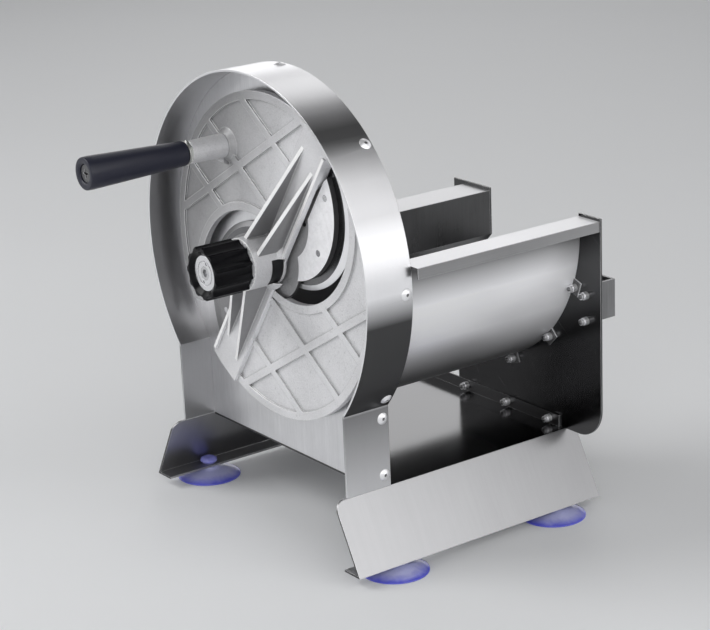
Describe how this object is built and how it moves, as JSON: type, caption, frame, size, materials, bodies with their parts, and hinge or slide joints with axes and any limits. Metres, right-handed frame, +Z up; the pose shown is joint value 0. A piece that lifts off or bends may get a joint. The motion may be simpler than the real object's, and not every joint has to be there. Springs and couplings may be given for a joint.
{
  "type": "jerky slicer with crank",
  "caption": "Hand cranked slicer: a ribbed disc with crescent blades turns in a sheet steel guard at the end of a feed trough; a knob sets the slice.",
  "frame": {"origin": "centre of the footprint box on the surface under the suction cups", "axes": "+X to the right seen from the disc side, +Y back along the trough, away from the disc, +Z up"},
  "size_m": [0.294, 0.3412, 0.3515],
  "materials": {
    "base_plate": "satin",
    "guard_band": "satin",
    "front_plate": "satin",
    "back_plate": "polished",
    "feed_trough": "satin",
    "shaft_cover": "satin",
    "rear_strap": "brushed",
    "front_bearing": "satin",
    "rear_bearing": "satin",
    "bearing_rivets": "satin",
    "suction_cup_1": "clear and glossy",
    "suction_cup_2": "clear and glossy",
    "suction_cup_3": "clear and glossy",
    "suction_cup_4": "clear and glossy",
    "guard_rivets": "polished",
    "trough_rivets": "polished",
    "deck_rivets": "polished",
    "strap_rivets": "polished",
    "shaft": "ground",
    "shaft_washer": "satin",
    "shaft_circlip": "phosphated",
    "blade_carrier": "cast, pads machined",
    "carrier_screws": "satin",
    "drive_pins": "ground",
    "blade_1": "polished",
    "blade_2": "polished",
    "blade_screws": "satin",
    "cutter_disc": "sand cast",
    "hub_clip": "matt",
    "index_ring": "turned",
    "handle_bolt": "satin",
    "handle_washer": "turned",
    "adjusting_knob": "glossy",
    "knob_sleeve": "turned",
    "zero_screw": "satin",
    "handle_grip": "satin"
  },
  "bodies": {
    "frame": {"base_plate": "base_plate", "guard_band": "guard_band", "front_plate": "front_plate", "back_plate": "back_plate", "feed_trough": "feed_trough", "shaft_cover": "shaft_cover", "rear_strap": "rear_strap", "front_bearing": "front_bearing", "rear_bearing": "rear_bearing", "bearing_rivets": "bearing_rivets", "suction_cup_1": "suction_cup_1", "suction_cup_2": "suction_cup_2", "suction_cup_3": "suction_cup_3", "suction_cup_4": "suction_cup_4", "guard_rivets": "guard_rivets", "trough_rivets": "trough_rivets", "deck_rivets": "deck_rivets", "strap_rivets": "strap_rivets"},
    "rotor": {"shaft": "shaft", "shaft_washer": "shaft_washer", "shaft_circlip": "shaft_circlip", "blade_carrier": "blade_carrier", "carrier_screws": "carrier_screws", "drive_pins": "drive_pins", "blade_1": "blade_1", "blade_2": "blade_2", "blade_screws": "blade_screws"},
    "disc": {"cutter_disc": "cutter_disc", "hub_clip": "hub_clip", "index_ring": "index_ring", "handle_bolt": "handle_bolt", "handle_washer": "handle_washer"},
    "knob": {"adjusting_knob": "adjusting_knob", "knob_sleeve": "knob_sleeve", "zero_screw": "zero_screw"},
    "grip": {"handle_grip": "handle_grip"}
  },
  "joints": [
    {"name": "crank_turn", "type": "hinge", "parent": "frame", "child": "rotor", "pos_m": [0, -0.00825, 0.21], "axis": [0, 1, 0], "continuous": true},
    {"name": "disc_slide", "type": "slide", "parent": "rotor", "child": "disc", "axis": [0, 1, 0], "range_m": [-0.0065, 0.003]},
    {"name": "knob_turn", "type": "hinge", "parent": "disc", "child": "knob", "pos_m": [0, -0.09425, 0.21], "axis": [0, 1, 0], "range_deg": [-1170, 540]},
    {"name": "grip_spin", "type": "hinge", "parent": "disc", "child": "grip", "pos_m": [-0.0522, -0.12825, 0.285], "axis": [0, 1, 0], "continuous": true}
  ],
  "couplings": [
    {"joint": "knob_turn", "follows": "disc_slide", "rad_per_m": 3141.6}
  ]
}
